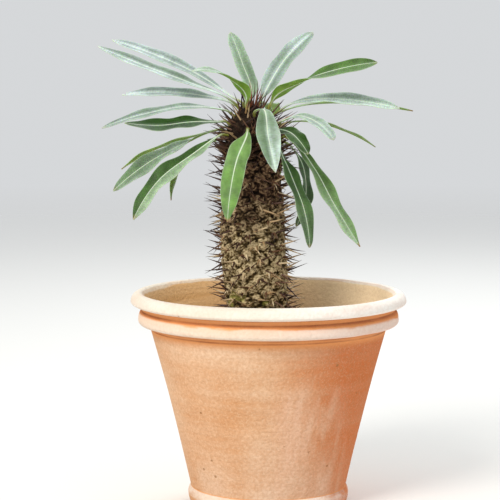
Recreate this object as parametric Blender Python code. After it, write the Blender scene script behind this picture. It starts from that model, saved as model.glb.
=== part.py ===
"""Potted Madagascar palm: a spiny stem with a crown of strap leaves, in a turned terracotta pot.

Metres, +Z up. The origin is on the surface that the pot stands on, under the stem, and the pot's
own axis stands a little to the right of it. The stem is upright, and the front looks along -Y."""

import math
import random

import bmesh
import bpy
from mathutils import Matrix, Vector, geometry, noise
from mathutils.bvhtree import BVHTree

MM = 0.001
SEAT_GAP = 0.3 * MM
FULL_TURN = 2 * math.pi

# Pot: every radius is from the pot's axis.
POT_X = 12 * MM
POT_SIDES = 44
POT_HEIGHT = 216 * MM
RIM_RADIUS = 140 * MM
RIM_WIDTH = 8.5 * MM
RIM_RISE = 9 * MM
RIM_DROP = 4 * MM
NECK_RADIUS = 129 * MM
NECK_HEIGHT = 199 * MM
COLLAR_RADIUS = 132.3 * MM
COLLAR_HEIGHT = 188 * MM
COLLAR_WIDTH = 3.5 * MM
COLLAR_RISE = 9.5 * MM
COLLAR_DROP = 4.2 * MM
SHOULDER_RADIUS = 119.5 * MM
SHOULDER_HEIGHT = 178 * MM
WAIST_RADIUS = 79.3 * MM
FOOT_RADIUS = 82 * MM
FOOT_HEIGHT = 17.5 * MM
FOOT_BELLY = 10.5 * MM
FOOT_FLAT = 77.5 * MM
FOOT_WIDTH = 13.5 * MM
FOOT_RECESS = 4 * MM
WALL_CURVE = 1.2 * MM
WALL = 9 * MM
FLOOR_TOP = 18 * MM
MOUTH_RADIUS = 127 * MM
DRAIN_RADIUS = 9 * MM

# Soil: it ends well below the rim.
SOIL_TOP = 172 * MM
SOIL_LUMP = 1.6 * MM
STEM_HOLE_DEPTH = 26 * MM
SOIL_RINGS = 7
SOIL_LUMPS_PER_METRE = 45

# Stem
STEM_SIDES = 34
STEM_ROWS = 38
DOME_ROWS = 6
STEM_RADIUS = 30.5 * MM
STEM_BELLY = 1.2 * MM
CROWN_RADIUS = 27 * MM
STEM_LEAN = -4 * MM
LEAN_FROM = 205 * MM
LEAN_TO = 275 * MM
STEM_FOOT_RADIUS = 26 * MM
STEM_FOOT_TOP = SOIL_TOP + 4 * MM
STEM_WIDE_FROM = SOIL_TOP + 30 * MM
BARK_FROM = SOIL_TOP + 9 * MM
SHOULDER = 366 * MM
APEX = 404 * MM
BARK_LUMP = 1.3 * MM
TUBERCLES = 168
TUBERCLE_REACH = 8.5 * MM
TUBERCLES_TO = SHOULDER + 16 * MM
GOLDEN_ANGLE = math.radians(137.508)

# Spines, in pairs on the tubercles, and a tuft in the crown
SPINE_LENGTH = 19 * MM
SPINE_RADIUS = 0.85 * MM
SPINE_ROOT = 3 * MM
SPINE_SPREAD = math.radians(24)
SPINE_CLEARANCE = 1.25 * MM
SPINE_TESTS = 18
CROWN_SPINES = 130
SPINE_SEED = 11
PAIR_ANGLE = 0.05
BENDS = (0, 18, -18, 34, -34)

# Leaves: name, compass angle and height of the seat, width, share of the length where the blade is
# fully open, tip from 0 (round) to 1 (pointed), turn of the upper face about the midrib at the seat
# and at the tip, wave of the edges, then the points that the midrib passes. Angles are in degrees,
# from +X towards +Y, and lengths in millimetres.
LEAF_ROWS = 15
LEAF_THICKNESS = 0.9 * MM
PETIOLE_THICKNESS = 1.8 * MM
PETIOLE_WIDTH = 3.2 * MM
PETIOLE_SEAT = 1.9 * MM
PETIOLE_STUB = 4.5 * MM
CURVE_STEPS = 24
LEAF_FOLD = math.radians(9)
WAVE_ANGLE = 1150
LEAVES = [
    ("leaf_upright_left", 118, 403, 18, 0.38, 0.2, 0, 0, 0.6,
     [(-5, 16, 415), (-15, 30, 447), (-27, 44, 478)]),
    ("leaf_upright_right", 55, 402, 21, 0.34, 0.2, 25, 25, 0.6,
     [(6, 14, 413), (28, 34, 449), (58, 50, 478)]),
    ("leaf_right_rising", -12, 399, 18, 0.25, 0.2, -46, 50, 0.8,
     [(17, -7, 412), (43, -20, 428), (80, -30, 441), (119, -36, 448)]),
    ("leaf_right_level", 5, 393, 20, 0.5, 0.45, 25, 32, 0.8,
     [(30, 3, 404), (64, 3, 411), (104, -4, 409), (143, -14, 402)]),
    ("leaf_right_behind", 35, 391, 18, 0.5, 0.45, 5, -8, 0.6,
     [(34, 22, 401), (75, 38, 406), (119, 50, 403), (162, 56, 397)]),
    ("leaf_right_edge_on", 22, 383, 18, 0.5, 0.45, -4, 3, 0.5,
     [(38, 15, 388), (57, 24, 387), (91, 38, 377), (123, 50, 360)]),
    ("leaf_right_short", -33, 385, 16, 0.6, 0, 25, 14, 0.6,
     [(28, -19, 391), (42, -32, 395), (61, -50, 388), (75, -65, 373)]),
    ("leaf_front_right_curled", -50, 380, 18, 0.45, 0.45, 20, 15, 1.0,
     [(30, -34, 380), (41, -52, 372), (50, -65, 359)]),
    ("leaf_right_hanging", -20, 373, 17, 0.45, 0.6, 30, 40, 2.4,
     [(41, -16, 364), (57, -25, 343), (77, -31, 307), (103, -35, 265)]),
    ("leaf_inner_hanging", 12, 367, 17, 0.5, 0.45, 35, 60, 2.0,
     [(43, 10, 351), (50, 12, 320), (40, 10, 281)]),
    ("leaf_inner_spoon", -52, 370, 16, 0.45, 0.9, 0, 25, 2.2,
     [(27, -43, 352), (37, -48, 329), (46, -51, 305), (52, -55, 266)]),
    ("leaf_front_pale", -86, 394, 24, 0.62, 0.8, 0, 4, 0.8,
     [(6, -42, 402), (11, -74, 376), (18, -93, 343)]),
    ("leaf_front_left", -99, 381, 22, 0.36, 0.8, -15, -30, 1.8,
     [(-10, -42, 376), (-19, -52, 355), (-26, -59, 323), (-29, -61, 292)]),
    ("leaf_left_low", -152, 375, 21, 0.5, 0.45, -22, -30, 2.4,
     [(-38, -26, 375), (-60, -40, 360), (-98, -58, 331), (-121, -68, 295)]),
    ("leaf_left_hooked", 152, 370, 15, 0.5, 0.45, 0, 0, 0.8,
     [(-46, 28, 366), (-68, 32, 350), (-84, 34, 328), (-88, 32, 306)]),
    ("leaf_left_twisted", 178, 379, 19, 0.5, 0.45, 10, -62, 1.8,
     [(-44, -2, 379), (-73, 2, 366), (-110, 8, 346), (-146, 13, 317)]),
    ("leaf_left_thin", 143, 381, 16, 0.5, 0.45, 0, 6, 0.8,
     [(-40, 34, 379), (-72, 46, 369), (-112, 58, 354), (-141, 66, 336)]),
    ("leaf_left_boat", -156, 386, 19, 0.5, 0.6, -28, -36, 1.2,
     [(-38, -20, 389), (-64, -31, 389), (-98, -43, 386), (-130, -52, 389)]),
    ("leaf_left_arched", -164, 394, 17, 0.5, 0.45, -15, -22, 0.8,
     [(-28, -12, 399), (-64, -21, 404), (-106, -27, 398), (-154, -31, 383)]),
    ("leaf_left_straight", 158, 399, 15, 0.5, 0.45, -25, -35, 0.6,
     [(-24, 11, 406), (-58, 22, 414), (-99, 32, 417), (-138, 38, 414)]),
    ("leaf_left_rising", 184, 400, 18, 0.5, 0.4, -20, -28, 0.6,
     [(-26, -3, 410), (-67, 2, 427), (-118, 7, 446), (-161, 10, 464)]),
    ("leaf_left_top", 135, 401, 18, 0.55, 0.35, -20, -28, 0.6,
     [(-24, 20, 412), (-68, 38, 439), (-110, 48, 457), (-149, 57, 470)]),
    ("leaf_left_short", -122, 401, 18, 0.32, 0.8, 22, -20, 0.6,
     [(-10, -15, 413), (-25, -28, 431), (-45, -38, 440), (-64, -46, 440)]),
    ("leaf_back_high", 82, 397, 20, 0.5, 0.45, 0, 10, 1.2,
     [(8, 42, 404), (14, 84, 403), (18, 126, 390)]),
    ("leaf_back_left", 116, 383, 20, 0.5, 0.45, 0, -10, 1.8,
     [(-16, 48, 386), (-18, 84, 366), (-16, 110, 328)]),
    ("leaf_back_right", 74, 380, 20, 0.5, 0.45, 0, 12, 1.8,
     [(14, 48, 380), (18, 82, 356), (18, 104, 316)]),
    ("leaf_back_low", 98, 366, 18, 0.5, 0.45, 0, 8, 1.8,
     [(-4, 50, 356), (-4, 64, 326), (-2, 68, 292)]),
]


def clear_scene():
    for leftover in list(bpy.data.objects):
        bpy.data.objects.remove(leftover, do_unlink=True)


def make_material(name, colour, roughness):
    material = bpy.data.materials.new(name)
    material.use_nodes = True
    shader = material.node_tree.nodes["Principled BSDF"]
    shader.inputs["Base Color"].default_value = (*colour, 1)
    shader.inputs["Roughness"].default_value = roughness
    shader.inputs["Metallic"].default_value = 0
    return material


def add_object(name, mesh_builder, material):
    """Turns a bmesh into a named object with its faces pointing out."""
    bmesh.ops.recalc_face_normals(mesh_builder, faces=mesh_builder.faces)
    mesh = bpy.data.meshes.new(name)
    mesh_builder.to_mesh(mesh)
    mesh_builder.free()
    mesh.materials.append(material)
    mesh.shade_smooth()
    mesh.set_sharp_from_angle(angle=math.radians(40))
    piece = bpy.data.objects.new(name, mesh)
    bpy.context.scene.collection.objects.link(piece)
    return piece


def turned(profile, sides):
    """A bmesh turned about +Z from (radius, height) points."""
    builder = bmesh.new()
    verts = [builder.verts.new((radius, 0, height)) for radius, height in profile]
    edges = [builder.edges.new(pair) for pair in zip(verts, verts[1:])]
    bmesh.ops.spin(builder, geom=verts + edges, cent=(0, 0, 0), axis=(0, 0, 1), dvec=(0, 0, 0),
                   angle=FULL_TURN, steps=sides, use_merge=True, use_duplicate=False)
    bmesh.ops.remove_doubles(builder, verts=builder.verts, dist=0.01 * MM)
    return builder


def bead(radius, height, width, rise, drop, first, last, steps):
    """Points round a bead's section, from one angle to another in degrees, 0 facing outwards.

    The bead is as high as rise above its widest place and as deep as drop below it."""
    points = []
    for step in range(steps + 1):
        angle = math.radians(first + (last - first) * step / steps)
        tall = rise if angle > 0 else drop
        points.append((radius - width + width * math.cos(angle), height + tall * math.sin(angle)))
    return points


def body_radius(height):
    """The pot's outer wall: it opens towards the shoulder with a slight curve."""
    share = (height - FOOT_HEIGHT) / (SHOULDER_HEIGHT - FOOT_HEIGHT)
    slant = WAIST_RADIUS + (SHOULDER_RADIUS - WAIST_RADIUS) * share
    return slant - WALL_CURVE * math.sin(math.pi * share)


def inner_radius(height):
    return body_radius(min(height, SHOULDER_HEIGHT)) - WALL


def pot_profile():
    """The pot's section, from the mouth over the rim, down the outside and back up the inside."""
    rim = bead(RIM_RADIUS, POT_HEIGHT - RIM_RISE, RIM_WIDTH, RIM_RISE, RIM_DROP, 90, -90, 8)
    neck = [(NECK_RADIUS + 1 * MM, NECK_HEIGHT + 2.5 * MM), (NECK_RADIUS, NECK_HEIGHT)]
    collar = bead(COLLAR_RADIUS, COLLAR_HEIGHT, COLLAR_WIDTH, COLLAR_RISE, COLLAR_DROP, 70, -90, 5)
    under_collar = [(SHOULDER_RADIUS + 3 * MM, SHOULDER_HEIGHT + 3.5 * MM)]
    heights = [SHOULDER_HEIGHT + (FOOT_HEIGHT - SHOULDER_HEIGHT) * step / 4 for step in range(5)]
    wall = [(body_radius(height), height) for height in heights]
    foot = bead(FOOT_RADIUS, FOOT_BELLY, FOOT_RADIUS - FOOT_FLAT, FOOT_HEIGHT - FOOT_BELLY, FOOT_BELLY,
                55, -90, 6)
    under = [(FOOT_RADIUS - FOOT_WIDTH, 0), (FOOT_RADIUS - FOOT_WIDTH - 2 * MM, FOOT_RECESS),
             (DRAIN_RADIUS, FOOT_RECESS), (DRAIN_RADIUS, FLOOR_TOP)]
    floor_radius = inner_radius(FLOOR_TOP) - 4 * MM
    inside = [(floor_radius, FLOOR_TOP), (inner_radius(26 * MM), 26 * MM),
              (inner_radius(100 * MM), 100 * MM), (inner_radius(SOIL_TOP), SOIL_TOP),
              (MOUTH_RADIUS - 3.5 * MM, POT_HEIGHT - 8 * MM), (MOUTH_RADIUS, POT_HEIGHT - 2 * MM)]
    return rim + neck + collar + under_collar + wall + foot + under + inside


def make_pot(material):
    profile = pot_profile()
    pot = add_object("pot", turned(profile + profile[:1], POT_SIDES), material)
    pot.location.x = POT_X
    return pot


def stem_hole_cutter():
    """A plain round cutter, turned on the same sides as the stem so that their faces run parallel."""
    radius = STEM_FOOT_RADIUS + 2 * SEAT_GAP
    low = SOIL_TOP - STEM_HOLE_DEPTH - SEAT_GAP
    high = SOIL_TOP + 20 * MM
    cutter = add_object("stem_hole", turned([(0, high), (radius, high), (radius, low), (0, low)],
                                            STEM_SIDES), None)
    cutter.hide_render = True
    cutter.display_type = "WIRE"
    return cutter


def make_soil(material):
    """Potting grit from the floor up, clear of the wall, with an uneven top and a plain hole."""
    base = FLOOR_TOP + SEAT_GAP
    heights = [26 * MM, 100 * MM, SOIL_TOP - 2 * MM]
    ring = 15 * MM
    profile = [(ring * step, SOIL_TOP) for step in range(SOIL_RINGS)] + [(104 * MM, SOIL_TOP)]
    profile += [(inner_radius(height) - SEAT_GAP, height) for height in reversed(heights)]
    profile += [(inner_radius(FLOOR_TOP) - 4 * MM - SEAT_GAP, base), (0, base)]
    builder = turned(profile, POT_SIDES)
    for vert in builder.verts:
        if vert.co.z > SOIL_TOP - MM:
            vert.co.z += SOIL_LUMP * noise.noise(vert.co * SOIL_LUMPS_PER_METRE)
    soil = add_object("soil", builder, material)
    soil.location.x = POT_X
    hole = soil.modifiers.new("stem_hole", "BOOLEAN")
    hole.operation = "DIFFERENCE"
    hole.object = stem_hole_cutter()
    return soil


def eased(value, start, end):
    """Goes smoothly from 0 at start to 1 at end."""
    share = min(1, max(0, (value - start) / (end - start)))
    return share * share * (3 - 2 * share)


def stem_lean(height):
    """Sideways place of the stem's axis, which bends a little to the left above its foot."""
    return STEM_LEAN * eased(height, LEAN_FROM, LEAN_TO)


def stem_radius(height):
    """Radius of the smooth stem: plain in the soil, a slow belly, a narrower and domed shoulder."""
    if height < STEM_FOOT_TOP:
        return STEM_FOOT_RADIUS
    if height < STEM_WIDE_FROM:
        share = (height - STEM_FOOT_TOP) / (STEM_WIDE_FROM - STEM_FOOT_TOP)
        return STEM_FOOT_RADIUS + (STEM_RADIUS - STEM_FOOT_RADIUS) * math.sin(share * math.pi / 2)
    if height < SHOULDER:
        share = (height - STEM_WIDE_FROM) / (SHOULDER - STEM_WIDE_FROM)
        belly = STEM_BELLY * math.sin(math.pi * min(1, 1.6 * share))
        return STEM_RADIUS + belly - (STEM_RADIUS - CROWN_RADIUS) * eased(share, 0.6, 0.8)
    share = min(1, (height - SHOULDER) / (APEX - SHOULDER))
    return CROWN_RADIUS * math.sqrt(1 - share * share)


def tubercle_sites():
    """Places on the stem in one rising spiral: (compass angle, height)."""
    step = (TUBERCLES_TO - BARK_FROM) / TUBERCLES
    return [(index * GOLDEN_ANGLE % FULL_TURN, BARK_FROM + step * (index + 0.5))
            for index in range(TUBERCLES)]


def bark_height(angle, height, sites):
    """How far the bark stands out at a place: a low cone round each tubercle."""
    lift = 0.0
    for site_angle, site_height in sites:
        rise = height - site_height
        if abs(rise) > TUBERCLE_REACH:
            continue
        turn = (angle - site_angle + math.pi) % FULL_TURN - math.pi
        away = math.hypot(turn * STEM_RADIUS, rise)
        lift = max(lift, 1 - away / TUBERCLE_REACH)
    return BARK_LUMP * lift


def stem_builder(sites):
    """The bare stem, from its foot in the soil to its domed top, with the bark's tubercles raised."""
    bottom = SOIL_TOP - STEM_HOLE_DEPTH
    profile = [(0, bottom), (STEM_FOOT_RADIUS, bottom), (STEM_FOOT_RADIUS, STEM_FOOT_TOP)]
    for row in range(STEM_ROWS + 1):
        height = BARK_FROM + (SHOULDER - BARK_FROM) * row / STEM_ROWS
        profile.append((stem_radius(height), height))
    for row in range(1, DOME_ROWS):
        angle = row / DOME_ROWS * math.pi / 2
        profile.append((CROWN_RADIUS * math.cos(angle), SHOULDER + (APEX - SHOULDER) * math.sin(angle)))
    profile.append((0, APEX))
    builder = turned(profile, STEM_SIDES)
    for vert in builder.verts:
        if BARK_FROM - MM < vert.co.z < TUBERCLES_TO + 4 * MM:
            angle = math.atan2(vert.co.y, vert.co.x)
            lift = bark_height(angle, vert.co.z, sites)
            vert.co += Vector((math.cos(angle), math.sin(angle), 0)) * lift
        vert.co.x += stem_lean(vert.co.z)
    return builder


def crown_normal(angle, height):
    """Outward direction of the smooth stem at a place."""
    rise = max(0.0, (height - SHOULDER) / (APEX - SHOULDER))
    slope = math.atan2(rise / (APEX - SHOULDER), math.sqrt(max(0, 1 - rise * rise)) / CROWN_RADIUS)
    return Vector((math.cos(angle) * math.cos(slope), math.sin(angle) * math.cos(slope),
                   math.sin(slope)))


def seat_on(stem_tree, angle, height):
    """The point on the stem's faces under a place of the crown, and the outward direction there."""
    outward = crown_normal(angle, height)
    radius = stem_radius(height)
    smooth = Vector((stem_lean(height) + radius * math.cos(angle), radius * math.sin(angle), height))
    hit = stem_tree.ray_cast(smooth + outward * 20 * MM, -outward)[0]
    return hit, outward


def petiole_start(stem_tree, seat, outward):
    """The middle of a petiole's end, SEAT_GAP above the highest bark under it."""
    across = outward.cross(Vector((0, 0, 1))).normalized()
    rim = [Matrix.Rotation(FULL_TURN * step / 8, 3, outward) @ across * PETIOLE_SEAT
           for step in range(8)]
    heights = [0.0]
    for offset in rim:
        hit = stem_tree.ray_cast(seat + offset + outward * 20 * MM, -outward)[0]
        heights.append((hit - seat).dot(outward))
    return seat + outward * (max(heights) + SEAT_GAP)


def smooth_path(points, rows):
    """Points on a smooth curve through the given ones, and the share of its length at each.

    Row 0 is at the seat and row 1 at the end of the petiole's straight stub."""
    spans = [(end - start).length for start, end in zip(points, points[1:])]
    slopes = [(end - start) / span for start, end, span in zip(points, points[1:], spans)]
    leans = [slopes[0]]
    for before, after, span, next_span in zip(slopes, slopes[1:], spans, spans[1:]):
        leans.append((before * next_span + after * span) / (span + next_span))
    leans.append(slopes[-1] * 2 - leans[-1])
    curve = []
    for index, span in enumerate(spans):
        start, end = points[index], points[index + 1]
        first, last = start + leans[index] * span / 3, end - leans[index + 1] * span / 3
        curve += geometry.interpolate_bezier(start, first, last, end, CURVE_STEPS + 1)[:-1]
    curve.append(points[-1])
    lengths = [0.0]
    for start, end in zip(curve, curve[1:]):
        lengths.append(lengths[-1] + (end - start).length)
    stub = lengths[CURVE_STEPS] / lengths[-1]
    shares = [0.0] + [stub + (1 - stub) * station(row / (rows - 1)) for row in range(rows)]
    path, place = [], 0
    for share in shares:
        wanted = lengths[-1] * share
        while place < len(curve) - 2 and lengths[place + 1] < wanted:
            place += 1
        part = (wanted - lengths[place]) / (lengths[place + 1] - lengths[place])
        path.append(curve[place].lerp(curve[place + 1], min(1, part)))
    return path, shares


def station(share):
    """Rows stand closer together towards the blunt tip."""
    return 0.65 * share + 0.35 * math.sin(share * math.pi / 2)


def blade_share(share, open_at, tip):
    """Width of the blade along its length: a narrow petiole, a strap, a round or pointed tip."""
    close_from = 0.70 - 0.16 * tip
    closing = max(0.0, (share - close_from) / (1 - close_from))
    return eased(share, 0.05, open_at) * (1 - closing ** (3 - tip)) ** (0.55 + 0.45 * tip)


def leaf_frame(path, row, heading):
    """Along, across and up directions of the blade at one row."""
    along = (path[min(row + 1, len(path) - 1)] - path[max(row - 1, 0)]).normalized()
    up = Vector((0, 0, 1)) * along.dot(heading) - heading * along.z
    up = (up - along * up.dot(along)).normalized()
    return along, along.cross(up), up


def make_leaf(leaf, stem_tree, material):
    """A strap leaf, folded along its midrib, waved at the edges, seated square on the stem."""
    name, compass, height, width, open_at, tip, turn_at_seat, turn_at_tip, wave, midrib = leaf
    seat, outward = seat_on(stem_tree, math.radians(compass), height * MM)
    first = petiole_start(stem_tree, seat, outward)
    points = [first, first + outward * PETIOLE_STUB] + [Vector(point) * MM for point in midrib]
    path, shares = smooth_path(points, LEAF_ROWS)
    heading = points[-1] - points[0]
    heading = Vector((heading.x, heading.y, 0)).normalized()
    builder = bmesh.new()
    bmesh.ops.create_grid(builder, x_segments=LEAF_ROWS, y_segments=2, size=1)
    body = builder.verts.layers.deform.verify()
    for vert in builder.verts:
        row = round((vert.co.x + 1) / 2 * LEAF_ROWS)
        side = round(vert.co.y)
        share = shares[row]
        along, across, up = leaf_frame(path, row, heading)
        turn = math.radians(turn_at_seat + (turn_at_tip - turn_at_seat) * eased(share, 0.1, 0.75))
        across, up = (across * math.cos(turn) - up * math.sin(turn),
                      up * math.cos(turn) + across * math.sin(turn))
        opened = blade_share(share, open_at, tip)
        half = max(PETIOLE_WIDTH * (1 - 0.7 * share), width * MM * opened) / 2
        phase = math.radians(WAVE_ANGLE * share + 90 * side + 40 * compass)
        ripple = wave * MM * opened * math.sin(phase)
        fold = LEAF_FOLD * opened
        vert.co = path[row] + across * side * half * math.cos(fold)
        vert.co += up * abs(side) * (half * math.sin(fold) + ripple)
        vert[body][0] = max(LEAF_THICKNESS / PETIOLE_THICKNESS, 1 - 4 * share)
    bmesh.ops.triangulate(builder, faces=builder.faces, quad_method="FIXED")
    blade = add_object(name, builder, material)
    blade.vertex_groups.new(name="body")
    thicken = blade.modifiers.new("body", "SOLIDIFY")
    thicken.thickness = PETIOLE_THICKNESS
    thicken.offset = 0
    thicken.use_even_offset = True
    thicken.vertex_group = "body"
    return blade


def evaluated_tree(piece):
    graph = bpy.context.evaluated_depsgraph_get()
    return BVHTree.FromObject(piece, graph)


def spine_direction(outward, sideways, spread, lift):
    """Outwards, opened to one side and raised or lowered."""
    upward = outward.cross(sideways)
    return (outward + sideways * math.tan(spread) + upward * math.tan(lift)).normalized()


def is_clear(root, direction, length, leaf_trees):
    """True where a spine keeps off every leaf and off the soil."""
    if (root + direction * length).z < SOIL_TOP + 5 * MM:
        return False
    for step in range(SPINE_TESTS + 1):
        point = root + direction * length * step / SPINE_TESTS
        for tree in leaf_trees:
            if tree.find_nearest(point, SPINE_CLEARANCE)[0] is not None:
                return False
    return True


def make_spine(root, direction, length):
    """A three-sided needle whose root is sunk in the bark."""
    builder = bmesh.new()
    whole = length + SPINE_ROOT
    bmesh.ops.create_cone(builder, cap_ends=True, segments=3, radius1=SPINE_RADIUS, radius2=0,
                          depth=whole)
    turn = direction.to_track_quat("Z", "Y").to_matrix().to_4x4()
    middle = root + direction * (whole / 2 - SPINE_ROOT)
    bmesh.ops.transform(builder, matrix=Matrix.Translation(middle) @ turn, verts=builder.verts)
    return add_object("spine", builder, None)


def spine_places(sites, rng):
    """Root angle and height, length, sideways spread and lift of every spine."""
    places = []
    for angle, height in sites:
        for side in (-1, 1):
            lift = math.radians(rng.uniform(-16, 24))
            spread = side * SPINE_SPREAD * rng.uniform(0.6, 1.3)
            length = SPINE_LENGTH * rng.uniform(0.82, 1.15)
            places.append((angle + side * PAIR_ANGLE, height, length, spread, lift))
    for index in range(CROWN_SPINES):
        rise = (index + 0.5) / CROWN_SPINES
        height = SHOULDER + (APEX - SHOULDER) * (0.3 + 0.69 * rise)
        length = SPINE_LENGTH * rng.uniform(0.9, 1.25)
        lift = math.radians(rng.uniform(0, 24))
        places.append((index * GOLDEN_ANGLE, height, length, rng.uniform(-0.3, 0.3), lift))
    return places


def make_trunk(builder, stem_tree, sites, leaves, material):
    """The stem with its spines joined on: each is bent clear of the leaves or left out."""
    rng = random.Random(SPINE_SEED)
    leaf_trees = [evaluated_tree(leaf) for leaf in leaves]
    trunk = add_object("trunk", builder, material)
    needles = bpy.data.collections.new("needles")
    bpy.context.scene.collection.children.link(needles)
    for angle, height, length, spread, lift in spine_places(sites, rng):
        root, outward = seat_on(stem_tree, angle, height)
        sideways = Vector((-math.sin(angle), math.cos(angle), 0))
        for bend in BENDS:
            direction = spine_direction(outward, sideways, spread, lift + math.radians(bend))
            if is_clear(root, direction, length, leaf_trees):
                needle = make_spine(root, direction, length)
                bpy.context.scene.collection.objects.unlink(needle)
                needles.objects.link(needle)
                break
    join = trunk.modifiers.new("spines", "BOOLEAN")
    join.operation = "UNION"
    join.operand_type = "COLLECTION"
    join.collection = needles
    join.solver = "MANIFOLD"
    graph = bpy.context.evaluated_depsgraph_get()
    joined = bpy.data.meshes.new_from_object(trunk.evaluated_get(graph))
    trunk.modifiers.clear()
    trunk.data = joined
    for needle in list(needles.objects):
        bpy.data.objects.remove(needle, do_unlink=True)
    bpy.data.collections.remove(needles)
    return trunk


def main():
    clear_scene()
    terracotta = make_material("terracotta", (0.72, 0.44, 0.27), 0.88)
    grit = make_material("potting_grit", (0.16, 0.11, 0.08), 0.95)
    bark = make_material("bark", (0.21, 0.17, 0.13), 0.85)
    foliage = make_material("foliage", (0.16, 0.30, 0.17), 0.5)
    make_pot(terracotta)
    make_soil(grit)
    sites = tubercle_sites()
    stem = stem_builder(sites)
    stem_tree = BVHTree.FromBMesh(stem)
    leaves = [make_leaf(leaf, stem_tree, foliage) for leaf in LEAVES]
    bpy.context.view_layer.update()
    make_trunk(stem, stem_tree, sites, leaves, bark)


main()
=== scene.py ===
"""Potted Madagascar palm: a spiny stem with a crown of strap leaves, in a weathered terracotta pot."""

import math
import random

import bmesh
import bpy
from mathutils import Matrix, Vector, geometry, kdtree, noise
from mathutils.bvhtree import BVHTree


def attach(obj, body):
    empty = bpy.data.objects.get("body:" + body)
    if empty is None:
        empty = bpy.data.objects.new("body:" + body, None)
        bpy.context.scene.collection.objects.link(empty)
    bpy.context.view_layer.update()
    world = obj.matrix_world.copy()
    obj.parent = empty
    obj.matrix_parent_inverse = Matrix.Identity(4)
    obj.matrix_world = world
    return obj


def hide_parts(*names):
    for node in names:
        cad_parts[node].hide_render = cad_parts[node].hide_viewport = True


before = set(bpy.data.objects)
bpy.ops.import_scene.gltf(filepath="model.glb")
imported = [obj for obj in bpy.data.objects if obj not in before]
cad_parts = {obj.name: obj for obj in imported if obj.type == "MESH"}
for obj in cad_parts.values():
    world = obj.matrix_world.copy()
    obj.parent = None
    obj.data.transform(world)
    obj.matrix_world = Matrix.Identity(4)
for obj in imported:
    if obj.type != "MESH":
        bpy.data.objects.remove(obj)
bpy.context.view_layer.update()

# Camera
# The view is from two metres in front, six degrees down, through a long lens, so that the pot's rim
# shows as a flat ellipse and the far wall of its mouth is just seen over the near one.
MM = 0.001
LOOKS_DOWN = 6
camera = bpy.data.objects.new("camera", bpy.data.cameras.new("camera"))
bpy.context.scene.collection.objects.link(camera)
camera.location = (-6.8 * MM, -2026 * MM, 471 * MM)
camera.rotation_euler = (math.radians(90 - LOOKS_DOWN), 0, 0)
camera.data.sensor_width = 36
camera.data.lens = 144.5
bpy.context.scene.camera = camera
bpy.context.scene.view_settings.view_transform = "Standard"


# Pot
# One turned piece of unglazed terracotta, thrown on a wheel: a rolled rim, a second bead under it, a
# tapering wall with throwing marks, and a foot ring. Lime has bloomed out of the clay on the beads.
FULL_TURN = 2 * math.pi
POT_X = 12 * MM
POT_SIDES = 160

# The section's sizes are in millimetres. A bead has its outer radius, the height of its widest place,
# its width, and its rise above and drop below that place.
WALL = 9
WALL_LOW, WALL_SPAN = 17.5, 160.5
WALL_TOP, WALL_END = 177.6, 18.2
WALL_STEPS = 48
FLOOR_UNDER, FLOOR_TOP = 4, 18
HOLE_RADIUS = 9
RIM = (140, 207, 8.5, 9, 4)
COLLAR = (132.3, 188, 3.5, 9.5, 4.2)
FOOT = (82, 10.5, 4.5, 7, 10.5)

# Height, radius and lime of the inner wall, from the soil up to the rim, and where its salts thin out.
MOUTH = [(176, 110.6, 0), (182, 113.0, 0.05), (188, 115.4, 0.05), (194, 117.9, 0.05), (199, 120.0, 0.1),
         (203, 121.8, 0.1), (207, 123.7, 0.1), (210.4, 125.2, 0.15), (212.8, 126.6, 0.35),
         (214.6, 128.2, 0.7), (215.7, 129.9, 0.9)]
SALTS_TO = 213


def wall_radius(height):
    """Outer radius of the wall: it opens towards the shoulder with a slight curve."""
    share = (height - WALL_LOW) / WALL_SPAN
    return 79.3 + 40.2 * share - 1.2 * math.sin(math.pi * share)


def rolled(bead, first, last, steps, lime, groove_tint_and_shade):
    """Points round a bead, from one angle to another, 0 facing outwards, with the clay's bloom."""
    radius, height, width, rise, drop = bead
    points = []
    for step in range(steps + 1):
        share = step / steps
        angle = math.radians(first + (last - first) * share)
        tall = rise if angle > 0 else drop
        points.append((radius - width + width * math.cos(angle), height + tall * math.sin(angle),
                       lime[0] + (lime[1] - lime[0]) * share, groove_tint_and_shade[0] + (groove_tint_and_shade[1] - groove_tint_and_shade[0]) * share, 0))
    return points


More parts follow.
